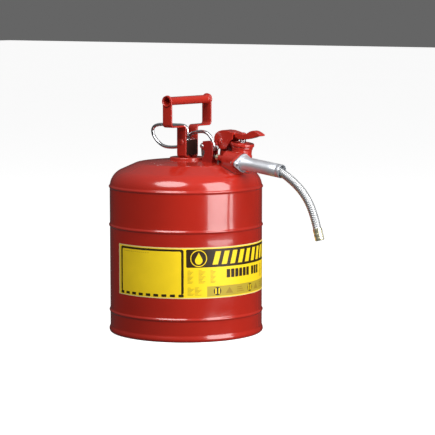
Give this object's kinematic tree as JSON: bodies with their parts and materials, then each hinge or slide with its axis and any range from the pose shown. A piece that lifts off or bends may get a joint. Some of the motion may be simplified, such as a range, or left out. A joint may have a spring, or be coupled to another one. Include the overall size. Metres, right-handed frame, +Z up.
{
  "type": "safety gas can",
  "caption": "Round steel safety can for flammable liquids: domed top, fixed D handle, wire trigger for the pour valve, spring-closed fill lid and a spout with a flexible hose.",
  "frame": {"origin": "centre of the can's base, on the floor it stands on", "axes": "+Z up along the can's axis; +X the way the spout points; +Y towards the fill port's side"},
  "size_m": [0.4725, 0.2984, 0.457],
  "materials": {
    "can_red": "gloss enamel",
    "dome_red": "gloss enamel",
    "handle_red": "gloss enamel",
    "cast_red": "gloss enamel over a casting",
    "dark_enamel": "dark baked enamel",
    "label_print": "printed vinyl",
    "chrome_wire": "bright",
    "plated_steel": "zinc plated",
    "spring_steel": "bright",
    "seal_rubber": "matte",
    "screen_mesh": "woven wire",
    "spout_metal": "satin",
    "hose_metal": "spiral wound",
    "nozzle_brass": "satin"
  },
  "bodies": {
    "can": {"body_shell": "can_red", "bottom_pan": "can_red", "top_dome": "dome_red", "label": "label_print", "handle_base": "handle_red", "handle_strap_left": "handle_red", "handle_strap_right": "handle_red", "neck_web": "dark_enamel", "strap_rivets": "handle_red", "grip_tube": "handle_red", "trigger_pivot_pin": "plated_steel", "pivot_washers": "plated_steel", "crank_bracket": "cast_red", "crank_pin": "plated_steel", "manifold_gasket": "seal_rubber", "manifold": "cast_red", "stem_gland_nut": "nozzle_brass", "valve_spring": "spring_steel", "lid_hinge_pin": "plated_steel", "lid_springs": "spring_steel", "fill_flame_screen": "screen_mesh", "pour_flame_screen": "screen_mesh", "flange_gasket": "seal_rubber", "spout_flange": "spout_metal", "flange_screws": "plated_steel", "spout_tube": "spout_metal", "hose_ferrule": "nozzle_brass", "hose": "hose_metal", "hose_nozzle": "nozzle_brass"},
    "lid": {"lid_lever": "cast_red", "fill_cap": "cast_red", "cap_gasket": "seal_rubber", "cap_stud": "plated_steel", "cap_spring": "spring_steel"},
    "trigger": {"trigger_lever": "chrome_wire", "trigger_link_pin": "plated_steel"},
    "crank": {"valve_crank": "plated_steel"},
    "valve": {"valve_stem": "plated_steel", "stem_cross_pin": "plated_steel", "valve_disc": "plated_steel", "valve_seal": "seal_rubber"}
  },
  "joints": [
    {"name": "lid_hinge", "type": "hinge", "parent": "can", "child": "lid", "pos_m": [0.07268, 0.028, 0.36877], "axis": [0, -1, 0], "range_deg": [0, 95], "stiffness_Nm_per_rad": 0.15, "springref_deg": -28.65, "deforming": ["lid_springs"]},
    {"name": "trigger_pull", "type": "hinge", "parent": "can", "child": "trigger", "pos_m": [0.004, 0, 0.366], "axis": [0, 1, 0], "range_deg": [0, 8], "stiffness_Nm_per_rad": 1.5, "springref_deg": -11.46},
    {"name": "crank_turn", "type": "hinge", "parent": "can", "child": "crank", "pos_m": [0.046, 0, 0.36], "axis": [0, 1, 0], "range_deg": [0, 22]},
    {"name": "valve_slide", "type": "slide", "parent": "can", "child": "valve", "axis": [-0.9925, 0, 0.1219], "range_m": [0, 0.0065], "deforming": ["valve_spring"]}
  ],
  "couplings": [
    {"joint": "crank_turn", "follows": "trigger_pull", "ratio": 2.6965},
    {"joint": "valve_slide", "follows": "trigger_pull", "m_per_rad": 0.0452}
  ]
}
